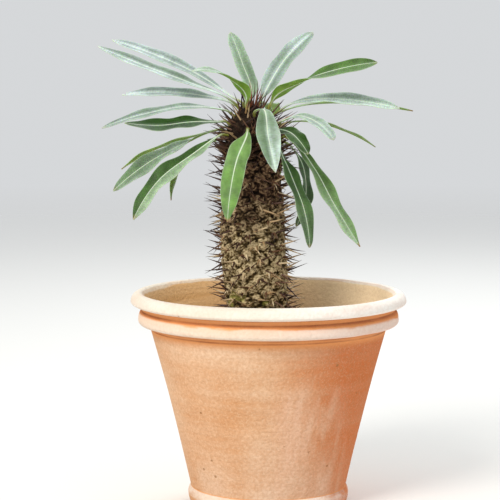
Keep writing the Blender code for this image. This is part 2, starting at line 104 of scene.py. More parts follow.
def pot_section():
    """Radius, height, lime, groove tint and inside marks of the pot's section, over the rim and round; the
    groove tint is orange clay with painted shade under the rim and the collar.
    """
    section = rolled(RIM, 90, -45, 18, (1.15, 1.2), (0, 0))
    section += rolled(RIM, -54, -88, 6, (0.55, 0.05), (0.3, 1))
    section += [(130.5, 202.7, 0, 1, 0), (129.7, 201.6, 0, 0.7, 0), (129.2, 200.4, 0, 0.6, 0),
                (129.0, 199.2, 0, 0.75, 0), (129.2, 198.2, 0, 1, 0)]
    section += rolled(COLLAR, 72, 18, 10, (0.0, 0.5), (0.9, 0.5))
    section += rolled(COLLAR, 12, -45, 9, (0.58, 0.66), (0.2, 0))
    section += rolled(COLLAR, -54, -88, 5, (0.5, 0.0), (0.2, 0.8))
    section += [(126.4, 183.5, 0, 1, 0), (123.6, 182.2, 0, 0.9, 0), (121.2, 180.6, 0, 0.8, 0),
                (120.1, 179.2, 0, 1, 0)]
    for step in range(WALL_STEPS + 1):
        height = WALL_TOP - (WALL_TOP - WALL_END) * step / WALL_STEPS
        section.append((wall_radius(height), height, 0.06, 0.7 * max(0, 1 - step / 1.6), 0))
    section += [(79.4, 17.4, 0.1, 0.6, 0)]
    section += rolled(FOOT, 62, -88, 14, (0.38, 0.18), (0, 0))
    section += [(73, 0, 0.2, 0, 0), (68.5, 0, 0.2, 0.1, 0), (66.5, FLOOR_UNDER, 0.1, 0.2, 0),
                (40, FLOOR_UNDER, 0.1, 0.2, 0), (HOLE_RADIUS, FLOOR_UNDER, 0.1, 0.2, 0),
                (HOLE_RADIUS, 11, 0.1, 0.4, 1), (HOLE_RADIUS, FLOOR_TOP, 0.1, 0.5, 1)]
    section += [(40, FLOOR_TOP, 0, 0.4, 1), (wall_radius(FLOOR_TOP) - WALL - 4, FLOOR_TOP, 0, 0.5, 1),
                (wall_radius(26) - WALL, 26, 0, 0.5, 1)]
    for step in range(1, 13):
        height = 26 + (172 - 26) * step / 12
        section.append((wall_radius(height) - WALL, height, 0, 0.2, 1))
    for height, radius, lime in MOUTH:
        section.append((radius, height, lime, 0.05, 1 if height < SALTS_TO else 0.3))
    return section


def turned(section, sides, marks):
    """A bmesh turned about +Z from section points, whose last values are kept as named marks."""
    builder = bmesh.new()
    layers = [builder.verts.layers.float.new(mark) for mark in marks]
    verts = []
    for radius, height, *values in section:
        vert = builder.verts.new((radius * MM, 0, height * MM))
        for layer, value in zip(layers, values):
            vert[layer] = value
        verts.append(vert)
    edges = [builder.edges.new(pair) for pair in zip(verts, verts[1:])]
    bmesh.ops.spin(builder, geom=verts + edges, cent=(0, 0, 0), axis=(0, 0, 1), dvec=(0, 0, 0),
                   angle=FULL_TURN, steps=sides, use_merge=True, use_duplicate=False)
    bmesh.ops.remove_doubles(builder, verts=builder.verts, dist=0.01 * MM)
    return builder


def finished(name, builder, material, slot, *nodes, sharp=50):
    """A piece in the plant's frame, smooth but for its sharp edges, standing for the CAD nodes."""
    bmesh.ops.recalc_face_normals(builder, faces=builder.faces)
    mesh = bpy.data.meshes.new(name)
    builder.to_mesh(mesh)
    builder.free()
    mesh.materials.append(material)
    mesh.shade_smooth()
    mesh.set_sharp_from_angle(angle=math.radians(sharp))
    piece = bpy.data.objects.new(name, mesh)
    bpy.context.scene.collection.objects.link(piece)
    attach(piece, "root")
    if nodes:
        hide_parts(*nodes)
    return piece


def add_node(tree, kind, inputs, **settings):
    """A shader node with its settings, and with its inputs joined or set by name or place."""
    made = tree.nodes.new("ShaderNode" + kind)
    for name, value in settings.items():
        setattr(made, name, value)
    for name, value in inputs.items():
        if isinstance(value, bpy.types.NodeSocket):
            tree.links.new(value, made.inputs[name])
        else:
            made.inputs[name].default_value = value
    return made


def mixed(tree, share, first, second):
    """One colour going over to another."""
    colours = {6: first, 7: second}
    inputs = {place: colour if isinstance(colour, bpy.types.NodeSocket) else (*colour, 1)
              for place, colour in colours.items()}
    return add_node(tree, "Mix", {0: share, **inputs}, data_type="RGBA").outputs[2]


def sums(tree, operation, *values):
    """Values put together by one operation of arithmetic."""
    return add_node(tree, "Math", dict(enumerate(values)), operation=operation).outputs[0]


def times(tree, *values):
    """One value weakened by another."""
    return sums(tree, "MULTIPLY", *values)


def graded(tree, value, low, high, start=0.0, end=1.0):
    """A value read from one range into another, and held at its ends."""
    inputs = {"Value": value, "From Min": low, "From Max": high, "To Min": start, "To Max": end}
    return add_node(tree, "MapRange", inputs).outputs[0]


def mark_of(tree, name):
    """One of the named marks that a piece's vertices keep."""
    return add_node(tree, "Attribute", {}, attribute_name=name).outputs["Fac"]


def stretched(tree, place, scale):
    """The place on a piece, scaled along each axis, for a pattern that is longer one way."""
    return add_node(tree, "Mapping", {"Vector": place, "Scale": scale}).outputs[0]


mottle_group = bpy.data.node_groups.new("mottle", "ShaderNodeTree")
for socket, kind in [("Place", "Vector"), ("Scale", "Float"), ("Detail", "Float"), ("Low", "Float"),
                     ("High", "Float")]:
    mottle_group.interface.new_socket(socket, in_out="INPUT", socket_type="NodeSocket" + kind)
mottle_group.interface.new_socket("Mask", in_out="OUTPUT", socket_type="NodeSocketFloat")
mottle_in = mottle_group.nodes.new("NodeGroupInput")
mottle_out = mottle_group.nodes.new("NodeGroupOutput")
mottle_noise = add_node(mottle_group, "TexNoise", {"Vector": mottle_in.outputs["Place"],
                                                   "Scale": mottle_in.outputs["Scale"],
                                                   "Detail": mottle_in.outputs["Detail"]})
mottle_group.links.new(graded(mottle_group, mottle_noise.outputs[0], mottle_in.outputs["Low"],
                              mottle_in.outputs["High"]), mottle_out.inputs[0])


def mottle(tree, place, scale, low=0.4, high=0.6, detail=2.0):
    """Soft patches, from 0 to 1."""
    group = tree.nodes.new("ShaderNodeGroup")
    group.node_tree = mottle_group
    tree.links.new(place, group.inputs["Place"])
    for name, value in [("Scale", scale), ("Detail", detail), ("Low", low), ("High", high)]:
        group.inputs[name].default_value = value
    return group.outputs[0]


def new_material(name, roughness, specular=0.5):
    """A material, its node tree, its shader and the place on the piece."""
    material = bpy.data.materials.new(name)
    material.use_nodes = True
    tree = material.node_tree
    shader = tree.nodes["Principled BSDF"]
    shader.inputs["Roughness"].default_value = roughness
    shader.inputs["Specular IOR Level"].default_value = specular
    return material, tree, shader, add_node(tree, "TexCoord", {}).outputs["Object"]


def raise_surface(tree, shader, height, distance, strength=1.0, under=None):
    """Low relief from a height map, over another relief where there is one."""
    inputs = {"Height": height, "Distance": distance, "Strength": strength}
    if under is not None:
        inputs["Normal"] = under
    bump = add_node(tree, "Bump", inputs)
    tree.links.new(bump.outputs[0], shader.inputs["Normal"])
    return bump.outputs[0]


def terracotta_material():
    """Pale clay on the left and bare orange clay on the right, under rings, drips, salt and lime, partly
    painted light: lit on the outer left, shaded on the outer right, lighter on the inner right wall and on
    the right of the lime, with painted shade in the grooves under the rim and the collar.
    """
    material, tree, shader, place = new_material("terracotta", 0.94, 0.12)
    lime, groove_tint_and_shade, inside = [mark_of(tree, mark) for mark in ("lime", "groove_tint_and_shade", "inside")]
    parts = add_node(tree, "SeparateXYZ", {0: place})
    sideways, height = parts.outputs[0], parts.outputs[2]
    # Share towards the right. Besides the weathering that is heavier on the left, it carries painted
    # light: lit on the outer left, painted shade on the outer right, and lighter on the inner right wall
    # and the right of the lime.
    right = graded(tree, sideways, 0, 85 * MM)
    clouds = mottle(tree, place, 11, 0.36, 0.66, 4)
    rings = mottle(tree, stretched(tree, place, (3, 3, 95)), 1, 0.38, 0.64, 6)
    drips = mottle(tree, stretched(tree, place, (60, 60, 5)), 1, 0.42, 0.60, 4)
    speckle = mottle(tree, place, 330, 0.34, 0.66, 5)
    blotches = mottle(tree, stretched(tree, place, (24, 24, 48)), 1, 0.42, 0.66, 5)
    # Paler clay on the left and deeper orange on the right: partly the clay's own weathering, partly
    # painted light on the left and painted shade on the right.
    clay = mixed(tree, right, (0.58, 0.262, 0.098), (0.61, 0.132, 0.006))
    bloom = times(tree, clouds, graded(tree, right, 0, 1, 0.85, 0.04))
    clay = mixed(tree, bloom, clay, (0.74, 0.49, 0.31))
    ring_share = times(tree, rings, graded(tree, right, 0, 1, 0.34, 0.08))
    clay = mixed(tree, ring_share, clay, (0.80, 0.57, 0.39))
    blotch_share = times(tree, blotches, graded(tree, right, 0, 1, 0.34, 0.06))
    clay = mixed(tree, blotch_share, clay, (0.70, 0.36, 0.17))
    low = times(tree, graded(tree, height, 95 * MM, 25 * MM), clouds)
    low_share = times(tree, low, graded(tree, right, 0, 1, 0.8, 0.05))
    clay = mixed(tree, low_share, clay, (0.76, 0.57, 0.43))
    drip_zone = times(tree, graded(tree, sideways, 12 * MM, 30 * MM),
                      graded(tree, sideways, 92 * MM, 66 * MM))
    drip_zone = times(tree, drip_zone, graded(tree, height, 146 * MM, 118 * MM))
    clay = mixed(tree, times(tree, drips, times(tree, drip_zone, 0.72)), clay, (0.78, 0.48, 0.32))
    clay = mixed(tree, times(tree, speckle, 0.34), clay, (0.42, 0.165, 0.045))
    salt_dots = mottle(tree, place, 560, 0.52, 0.64, 3)
    dot_share = times(tree, salt_dots, graded(tree, right, 0, 1, 0.22, 0.14))
    clay = mixed(tree, dot_share, clay, (0.86, 0.64, 0.43))
    inner_salts_and_light = mixed(tree, rings, (0.70, 0.375, 0.13), (1.0, 0.68, 0.37))
    inner_salts_and_light = mixed(tree, times(tree, clouds, 0.5), inner_salts_and_light, (0.70, 0.42, 0.19))
    # Painted light: the inner wall is made lighter towards the right.
    inner_salts_and_light = mixed(tree, times(tree, right, 0.9), inner_salts_and_light, (1.0, 0.78, 0.50))
    inner_salts_and_light = mixed(tree, times(tree, speckle, 0.14), inner_salts_and_light, (0.46, 0.24, 0.09))
    clay = mixed(tree, inside, clay, inner_salts_and_light)
    # Orange in the grooves under the rim and the collar, partly the bare clay and partly painted shade,
    # and a darker painted shadow line right under each bead.
    clay = mixed(tree, times(tree, graded(tree, groove_tint_and_shade, 0, 0.7), 0.9), clay, (0.80, 0.31, 0.085))
    under_bead_shadow = times(tree, graded(tree, groove_tint_and_shade, 0.72, 1), graded(tree, blotches, 0, 1, 1, 0.45))
    clay = mixed(tree, under_bead_shadow, clay, (0.36, 0.095, 0.016))
    worn = mottle(tree, stretched(tree, place, (16, 16, 60)), 1, 0.30, 0.54, 5)
    crust = sums(tree, "ADD", lime, times(tree, worn, 0.3))
    crust = sums(tree, "SUBTRACT", crust, times(tree, right, 0.12))
    thick = graded(tree, crust, 0.92, 1.02, 0, 0.32)
    crust = sums(tree, "ADD", graded(tree, crust, 0.42, 0.58, 0.06, 0.68), thick)
    crust = times(tree, crust, graded(tree, worn, 0, 1, 0.80, 1))
    crust = times(tree, crust, graded(tree, speckle, 0, 1, 1, 0.88))
    # Painted light: the lime is made lighter towards the right.
    lime_and_light_tone = mixed(tree, right, (0.80, 0.725, 0.625), (0.97, 0.93, 0.86))
    colour = mixed(tree, crust, clay, lime_and_light_tone)
    cells = add_node(tree, "TexVoronoi", {"Vector": place, "Scale": 64.0})
    rare = mottle(tree, place, 27, 0.57, 0.60, 1)
    pits = times(tree, graded(tree, cells.outputs[0], 0.06, 0.11, 1, 0), rare)
    colour = mixed(tree, times(tree, pits, 0.75), colour, (0.36, 0.17, 0.06))
    tree.links.new(colour, shader.inputs["Base Color"])
    relief = sums(tree, "ADD", times(tree, rings, 0.45), times(tree, speckle, 0.5))
    relief = sums(tree, "SUBTRACT", relief, pits)
    raise_surface(tree, shader, relief, 0.8 * MM, 0.8)
    return material


def make_pot():
    """The pot as one closed skin, with the slight unevenness of the wheel."""
    section = pot_section()
    builder = turned(section + section[:1], POT_SIDES, ("lime", "groove_tint_and_shade", "inside"))
    for vert in builder.verts:
        wobble = 0.35 * MM * noise.noise(vert.co * 14) if vert.co.z > 5 * MM else 0
        outward = Vector((vert.co.x, vert.co.y, 0)).normalized()
        vert.co += outward * wobble + Vector((POT_X, 0, 0))
    return finished("weathered_pot", builder, terracotta_material(), "terracotta", "pot", sharp=35)


make_pot()


# Soil
# Dark potting grit fills the pot to four centimetres below the rim. Its top is covered with loose
# angular grains of pumice, bark and lava, pressed into the soil and clear of the stem.
SOIL_TOP = 172 * MM
GRAINS = 2600
GRAIN_CORNERS = 12
GRAINS_FROM, GRAINS_TO = 27 * MM, 106 * MM


def grit_material():
    """Dark, dull crumbs."""
    material, tree, shader, place = new_material("potting_grit", 0.95, 0.2)
    crumbs = mottle(tree, place, 260, 0.35, 0.65, 4)
    colour = mixed(tree, crumbs, (0.030, 0.020, 0.014), (0.12, 0.082, 0.055))
    tree.links.new(colour, shader.inputs["Base Color"])
    raise_surface(tree, shader, crumbs, 1.2 * MM)
    return material


def grain_material():
    """Dark to pale by each grain's own tone, under a little dust."""
    material, tree, shader, place = new_material("grit_grains", 0.92, 0.2)
    tone = mark_of(tree, "tone")
    dark = mixed(tree, graded(tree, tone, 0, 0.6), (0.045, 0.030, 0.021), (0.15, 0.10, 0.066))
    colour = mixed(tree, graded(tree, tone, 0.75, 0.8), dark, (0.40, 0.33, 0.25))
    dust = mottle(tree, place, 600, 0.35, 0.7, 3)
    colour = mixed(tree, times(tree, dust, 0.35), colour, (0.24, 0.18, 0.13))
    tree.links.new(colour, shader.inputs["Base Color"])
    raise_surface(tree, shader, dust, 0.3 * MM)
    return material


def make_grains():
    """Angular grains, each with its own size, turn and tone, half sunk in the top of the soil."""
    rng = random.Random(5)
    builder = bmesh.new()
    tone = builder.verts.layers.float.new("tone")
    while len(builder.verts) < GRAINS * GRAIN_CORNERS:
        radius = GRAINS_TO * math.sqrt(rng.random())
        angle = rng.uniform(0, FULL_TURN)
        size = MM * (1.3 + 1.5 * rng.random() ** 2)
        middle = Vector((POT_X + radius * math.cos(angle), radius * math.sin(angle), 0))
        if middle.length < GRAINS_FROM + size:
            continue
        middle.z = SOIL_TOP + rng.uniform(0.2, 0.9) * size
        turn = Matrix.Rotation(rng.uniform(0, FULL_TURN), 4, Vector((rng.random(), rng.random(), 1)))
        shape = Matrix.Diagonal((1, rng.uniform(0.6, 1), rng.uniform(0.45, 0.8), 1))
        grain = bmesh.ops.create_icosphere(builder, subdivisions=1, radius=size,
                                           matrix=Matrix.Translation(middle) @ turn @ shape)["verts"]
        shade = rng.random()
        for vert in grain:
            vert.co += Vector((rng.uniform(-1, 1), rng.uniform(-1, 1), rng.uniform(-1, 1))) * size * 0.16
            vert[tone] = shade
    return finished("grit_grains", builder, grain_material(), "potting_grit", sharp=20)


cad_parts["soil"].material_slots[0].material = grit_material()
make_grains()


# Stem
# One upright woody stem, swollen with stored water. Low tubercles cover it in rising spirals, each
# the foot of an old leaf, and the bark between them is cracked and folded, most of all at the base.
STEM_RADIUS = 30.5 * MM
CROWN_RADIUS = 27 * MM
STEM_FOOT = 26 * MM
STEM_END = 146 * MM
SHOULDER = 366 * MM
APEX = 404 * MM
SWELLS_FROM, SWELLS_TO = SOIL_TOP + 4 * MM, SOIL_TOP + 30 * MM
STEM_SIDES = 256
STEM_ROWS = 280
DOME_ROWS = 40
TUBERCLES = 236
TUBERCLE_REACH = 8.2 * MM
CRACK_WIDTH = 0.8 * MM
FOLDS_TO = 52 * MM
SWIRL_SEED = 7
GOLDEN_ANGLE = math.radians(137.508)


def eased(value, start, end):
    """Goes smoothly from 0 at start to 1 at end."""
    share = min(1, max(0, (value - start) / (end - start)))
    return share * share * (3 - 2 * share)


def stem_lean(height):
    """Sideways place of the stem's axis, which bends a little to the left above its foot."""
    return -4 * MM * eased(height, 205 * MM, 275 * MM)


def stem_radius(height):
    """Radius of the smooth stem: plain in the soil, a slow belly, a narrower and domed shoulder."""
    if height < SWELLS_FROM:
        return STEM_FOOT
    if height < SWELLS_TO:
        share = (height - SWELLS_FROM) / (SWELLS_TO - SWELLS_FROM)
        return STEM_FOOT + (STEM_RADIUS - STEM_FOOT) * math.sin(share * math.pi / 2)
    if height < SHOULDER:
        share = (height - SWELLS_TO) / (SHOULDER - SWELLS_TO)
        belly = 1.2 * MM * math.sin(math.pi * min(1, 1.6 * share))
        return STEM_RADIUS + belly - (STEM_RADIUS - CROWN_RADIUS) * eased(share, 0.6, 0.8)
    share = min(1, (height - SHOULDER) / (APEX - SHOULDER))
    return CROWN_RADIUS * math.sqrt(1 - share * share)


def stem_outward(angle, height):
    """Outward direction of the smooth stem at a place."""
    rise = min(1, max(0.0, (height - SHOULDER) / (APEX - SHOULDER)))
    slope = math.atan2(rise / (APEX - SHOULDER), math.sqrt(1 - rise * rise) / CROWN_RADIUS)
    return Vector((math.cos(angle) * math.cos(slope), math.sin(angle) * math.cos(slope), math.sin(slope)))


def stem_point(angle, height):
    """Place on the smooth stem."""
    radius = stem_radius(height)
    return Vector((stem_lean(height) + radius * math.cos(angle), radius * math.sin(angle), height))


def tubercle_sites():
    """Places on the stem in one rising spiral, a little out of line: (angle, height)."""
    rng = random.Random(3)
    low, high = SOIL_TOP + 6 * MM, SHOULDER + 30 * MM
    sites = []
    for index in range(TUBERCLES):
        height = low + (high - low) * (index + 0.5) / TUBERCLES + rng.uniform(-1.6, 1.6) * MM
        sites.append(((index * GOLDEN_ANGLE + rng.uniform(-0.05, 0.05)) % FULL_TURN, height))
    return sites


def bark_lift(point, tree, lump_sizes):
    """Height of the bark over the smooth stem, and its painted relief shade for the colour, dark in the
    cracks and pale on what stands out.
    """
    swirl = noise.noise_vector(point * 75) * 3.2 * MM
    (_, nearest, near), (_, _, next_near) = tree.find_n(point + swirl, 2)
    mound = max(0, 1 - (near / TUBERCLE_REACH) ** 2) * lump_sizes[nearest]
    crack = math.exp(-(next_near - near) / CRACK_WIDTH) * (0.6 + noise.noise(point * 55))
    wrinkle = math.sin(near / MM * 2.3 + 7 * noise.noise(point * 95))
    base = max(0, 1 - (point.z - SOIL_TOP) / FOLDS_TO)
    flat = 1 + 1.8 * base
    stretched_place = Vector((point.x / flat, point.y / flat, (1.9 + base) * point.z)) * 165
    ridges = noise.ridged_multi_fractal(stretched_place, 0.85, 2.1, 3, 1, 2)
    fold = 4 * noise.noise(point * 48)
    ruck = noise.noise(Vector((point.x * 26, point.y * 26, point.z * 215 + fold)))
    mound *= 1 - 0.7 * base
    crack *= 1 - 0.8 * base
    lift = 1.7 * mound - 0.7 * crack + 0.2 * wrinkle + 0.7 * (ridges - 1) + ruck * (0.4 + 3.0 * base)
    # Painted relief shade for the colour: darker in the cracks and folds, paler on the mounds.
    shade = 0.32 + 0.36 * mound - 0.35 * crack + 0.10 * wrinkle + 0.40 * (ridges - 1) + 0.9 * base * ruck
    return lift * MM, max(0, min(1, shade))


def bark_material():
    """Pale dry bark low down and darker new bark above, partly painted shade under the leaves, near-black
    painted shade on the dome between the petioles, and painted relief shade that darkens the cracks and
    pales what stands out.
    """
    material, tree, shader, place = new_material("bark", 0.9, 0.1)
    painted_relief_shade = mark_of(tree, "painted_relief_shade")
    height = add_node(tree, "SeparateXYZ", {0: place}).outputs[2]
    flakes = mottle(tree, place, 360, 0.38, 0.62, 6)
    patches = mottle(tree, place, 60, 0.38, 0.62, 4)
    # The painted relief shade from the vertices: dark in the cracks, pale on what stands out.
    tone = sums(tree, "ADD", times(tree, painted_relief_shade, 0.88), times(tree, flakes, 0.26))
    tone = sums(tree, "ADD", tone, graded(tree, height, 262 * MM, 228 * MM, 0, 0.10))
    tone = sums(tree, "SUBTRACT", tone, graded(tree, height, 222 * MM, 196 * MM, 0, 0.24))
    old = mixed(tree, graded(tree, tone, 0.24, 0.50), (0.014, 0.008, 0.003), (0.112, 0.073, 0.024))
    old = mixed(tree, graded(tree, tone, 0.48, 0.84), old, (0.66, 0.53, 0.31))
    old = mixed(tree, times(tree, patches, 0.22), old, (0.092, 0.066, 0.028))
    # Darker new bark towards the top: partly its own colour, partly painted shade under the leaves.
    young_and_shaded = mixed(tree, graded(tree, tone, 0.30, 0.55), (0.006, 0.003, 0.002), (0.060, 0.030, 0.016))
    young_and_shaded = mixed(tree, graded(tree, tone, 0.58, 0.85), young_and_shaded, (0.28, 0.175, 0.10))
    edge_height = sums(tree, "ADD", height, times(tree, patches, 0.02))
    colour = mixed(tree, graded(tree, edge_height, 268 * MM, 330 * MM), old, young_and_shaded)
    # Painted shade: near black on the dome under the crown of leaves.
    colour = mixed(tree, graded(tree, height, 348 * MM, 370 * MM, 0, 0.9), colour, (0.010, 0.006, 0.004))
    green = times(tree, mottle(tree, place, 64, 0.60, 0.66, 1), graded(tree, height, 225 * MM, 205 * MM))
    colour = mixed(tree, times(tree, green, 0.5), colour, (0.42, 0.42, 0.10))
    soil_stain = graded(tree, height, SOIL_TOP + 14 * MM, SOIL_TOP)
    colour = mixed(tree, times(tree, soil_stain, 0.6), colour, (0.06, 0.042, 0.026))
    tree.links.new(colour, shader.inputs["Base Color"])
    raise_surface(tree, shader, flakes, 0.8 * MM, 0.9)
    return material


def make_stem(sites):
    """The bark as one skin, from the foot in the soil to the dome between the leaves."""
    # Without a seed, noise_vector starts from the clock, and the swirl would differ from run to run.
    noise.seed_set(SWIRL_SEED)
    section = [(0, STEM_END / MM), (STEM_FOOT / MM, STEM_END / MM), (STEM_FOOT / MM, 160)]
    for row in range(STEM_ROWS + 1):
        height = SOIL_TOP - 4 * MM + (SHOULDER - SOIL_TOP + 4 * MM) * row / STEM_ROWS
        section.append((stem_radius(height) / MM, height / MM))
    for row in range(1, DOME_ROWS):
        angle = row / DOME_ROWS * math.pi / 2
        height = SHOULDER + (APEX - SHOULDER) * math.sin(angle)
        section.append((CROWN_RADIUS / MM * math.cos(angle), height / MM))
    section.append((0, APEX / MM))
    builder = turned(section, STEM_SIDES, ())
    # Painted relief shade kept on each vertex for the bark's colour.
    painted_relief_shade = builder.verts.layers.float.new("painted_relief_shade")
    places = kdtree.KDTree(len(sites))
    for index, (angle, height) in enumerate(sites):
        places.insert(stem_point(angle, height), index)
    places.balance()
    rng = random.Random(9)
    lump_sizes = [rng.uniform(0.65, 1.15) for _ in sites]
    for vert in builder.verts:
        angle = math.atan2(vert.co.y, vert.co.x)
        vert.co.x += stem_lean(vert.co.z)
        if vert.co.z > SOIL_TOP - 5 * MM:
            lift, vert[painted_relief_shade] = bark_lift(vert.co, places, lump_sizes)
            if vert.co.z < SWELLS_FROM:
                lift *= 0.4
            vert.co += stem_outward(angle, vert.co.z) * lift
    return finished("bark_skin", builder, bark_material(), "bark", sharp=180)


sites = tubercle_sites()
stem = make_stem(sites)
bpy.context.view_layer.update()
stem_tree = BVHTree.FromObject(stem, bpy.context.evaluated_depsgraph_get())


# Leaves
# Long leathery strap leaves on short petioles, in a loose crown round the top of the stem. A pale
# midrib stands out below, the edges wave, and a waxy bloom lies on the upper faces; its bluish-grey
# tint is partly a painted reflection of the sky, and its difference between the halves is a painted sheen.
LEAF_ROWS = 60
HALF_COLUMNS = 7
CURVE_STEPS = 24
PETIOLE_WIDTH = 3.2
SEAT_DEPTH = 0.8 * MM
STRAIGHT_OUT = 5.5 * MM
OUTSIDE = 20 * MM
LEAF_FOLD = math.radians(9)

# Name, compass angle and height of the seat, width, share of the length where the blade is fully
# open, tip from 0 (round) to 1 (pointed), turn of the upper face at the seat and at the tip, wave of
# the edges, the midrib's points, then the leaf's youth from 0 to 1, the waxy bloom and painted sheen on
# its left and right half, how much painted sky reflection tints it, how many times as strong it is at
# the tip, and the browning of the tip.
LEAVES = [
    ("leaf_upright_left", 118, 403, 18, 0.38, 0.2, 0, 0, 0.6,
     [(-5, 16, 415), (-15, 30, 447), (-27, 44, 478)], 0.42, 0.66, 0.5, 0.55, 1, 0.2),
    ("leaf_upright_right", 55, 402, 21, 0.34, 0.2, 25, 25, 0.6,
     [(6, 14, 413), (28, 34, 449), (58, 50, 478)], 0.26, 0.52, 0.42, 1, 1.1, 0.2),
    ("leaf_right_rising", -12, 399, 18, 0.25, 0.2, -46, 50, 0.8,
     [(17, -7, 412), (43, -20, 428), (80, -30, 441), (119, -36, 448)], 0.34, 0.03, 0.16, 0.2, 1, 0.2),
    ("leaf_right_level", 5, 393, 20, 0.5, 0.45, 25, 32, 0.8,
     [(30, 3, 404), (64, 3, 411), (104, -4, 409), (143, -14, 402)], 0.1, 0.6, 0.9, 0.65, 1, 0.3),
    ("leaf_right_behind", 35, 391, 18, 0.5, 0.45, 5, -8, 0.6,
     [(34, 22, 401), (75, 38, 406), (119, 50, 403), (162, 56, 397)], 0.45, 0.2, 0.2, 0.2, 1, 1.0),
    ("leaf_right_edge_on", 22, 383, 18, 0.5, 0.45, -4, 3, 0.5,
     [(38, 15, 388), (57, 24, 387), (91, 38, 377), (123, 50, 360)], 0.3, 0.15, 0.15, 0.2, 1, 0.4),
    ("leaf_right_short", -33, 385, 16, 0.6, 0, 25, 14, 0.6,
     [(28, -19, 391), (42, -32, 395), (61, -50, 388), (75, -65, 373)], 0.2, 0.72, 0.7, 0.7, 1, 0.4),
    ("leaf_front_right_curled", -50, 380, 18, 0.45, 0.45, 20, 15, 1.0,
     [(30, -34, 380), (41, -52, 372), (50, -65, 359)], 0.1, 0.0, 0.06, 0.2, 1, 0.3),
    ("leaf_right_hanging", -20, 373, 17, 0.45, 0.6, 30, 40, 2.4,
     [(41, -16, 364), (57, -25, 343), (77, -31, 307), (103, -35, 265)], 0.5, 0.05, 0.16, 0.1, 4, 1.0),
    ("leaf_inner_hanging", 12, 367, 17, 0.5, 0.45, 35, 60, 2.0,
     [(43, 10, 351), (50, 12, 320), (40, 10, 281)], 0, 0.1, 0.1, 0.2, 1, 0.5),
    ("leaf_inner_spoon", -52, 370, 16, 0.45, 0.35, 0, 25, 2.2,
     [(27, -43, 352), (37, -48, 329), (46, -51, 305), (52, -55, 266)], 0.12, 0.03, 0.06, 0.1, 2.5, 0.4),
    ("leaf_front_pale", -86, 394, 24, 0.62, 0.8, 0, 4, 0.8,
     [(6, -42, 402), (11, -74, 376), (18, -93, 343)], 0.26, 0.4, 0.17, 0.6, 2.1, 0.3),
    ("leaf_front_left", -99, 381, 22, 0.36, 0.8, -15, -30, 1.8,
     [(-10, -42, 376), (-19, -52, 355), (-26, -59, 323), (-29, -61, 292)], 0.8, 0.05, 0.10, 0.2, 1, 0.9),
    ("leaf_left_low", -152, 375, 21, 0.5, 0.45, -22, -30, 2.4,
     [(-38, -26, 375), (-60, -40, 360), (-98, -58, 331), (-121, -68, 295)], 0.12, 0.58, 0.02, 0, 1, 0.4),
    ("leaf_left_hooked", 152, 370, 15, 0.5, 0.45, 0, 0, 0.8,
     [(-46, 28, 366), (-68, 32, 350), (-84, 34, 328), (-88, 32, 306)], 0.35, 0.1, 0.1, 0.2, 1, 0.7),
    ("leaf_left_twisted", 178, 379, 19, 0.5, 0.45, 10, -62, 1.8,
     [(-44, -2, 379), (-73, 2, 366), (-110, 8, 346), (-146, 13, 317)], 0.2, 0.8, 0.62, 0.4, 0.45, 0.3),
    ("leaf_left_thin", 143, 381, 16, 0.5, 0.45, 0, 6, 0.8,
     [(-40, 34, 379), (-72, 46, 369), (-112, 58, 354), (-141, 66, 336)], 0.4, 0.25, 0.15, 0.2, 1, 0.6),
    ("leaf_left_boat", -156, 386, 19, 0.5, 0.6, -28, -36, 1.2,
     [(-38, -20, 389), (-64, -31, 389), (-98, -43, 386), (-130, -52, 389)], 0, 0.11, 0, 0.3, 1, 0.2),
    ("leaf_left_arched", -164, 394, 17, 0.5, 0.45, -15, -22, 0.8,
     [(-28, -12, 399), (-64, -21, 404), (-106, -27, 398), (-154, -31, 383)], 0.16, 0.5, 0.36, 0.9, 1, 0.3),
    ("leaf_left_straight", 158, 399, 15, 0.5, 0.45, -25, -35, 0.6,
     [(-24, 11, 406), (-58, 22, 414), (-99, 32, 417), (-138, 38, 414)], 0.16, 0.66, 0.56, 1, 1.1, 0.2),
    ("leaf_left_rising", 184, 400, 18, 0.5, 0.4, -20, -28, 0.6,
     [(-26, -3, 410), (-67, 2, 427), (-118, 7, 446), (-161, 10, 464)], 0.12, 0.68, 0.3, 0.9, 1.15, 0.2),
    ("leaf_left_top", 135, 401, 18, 0.55, 0.35, -20, -28, 0.6,
     [(-24, 20, 412), (-68, 38, 439), (-110, 48, 457), (-149, 57, 470)], 0.12, 0.66, 0.56, 1, 1.15, 0.2),
    ("leaf_left_short", -122, 401, 18, 0.32, 0.8, 22, -20, 0.6,
     [(-10, -15, 413), (-25, -28, 431), (-45, -38, 440), (-64, -46, 440)], 0.6, 0.5, 0.4, 0.7, 1, 0.2),
    ("leaf_back_high", 82, 397, 20, 0.5, 0.45, 0, 10, 1.2,
     [(8, 42, 404), (14, 84, 403), (18, 126, 390)], 0.25, 0.6, 0.5, 0.2, 1, 0.2),
    ("leaf_back_left", 116, 383, 20, 0.5, 0.45, 0, -10, 1.8,
     [(-16, 48, 386), (-18, 84, 366), (-16, 110, 328)], 0.2, 0.4, 0.3, 0.2, 1, 0.4),
    ("leaf_back_right", 74, 380, 20, 0.5, 0.45, 0, 12, 1.8,
     [(14, 48, 380), (18, 82, 356), (18, 104, 316)], 0.2, 0.3, 0.3, 0.2, 1, 0.6),
    ("leaf_back_low", 98, 366, 18, 0.5, 0.45, 0, 8, 1.8,
     [(-4, 50, 356), (-4, 64, 326), (-2, 68, 292)], 0.05, 0.2, 0.2, 0.2, 1, 0.8),
]


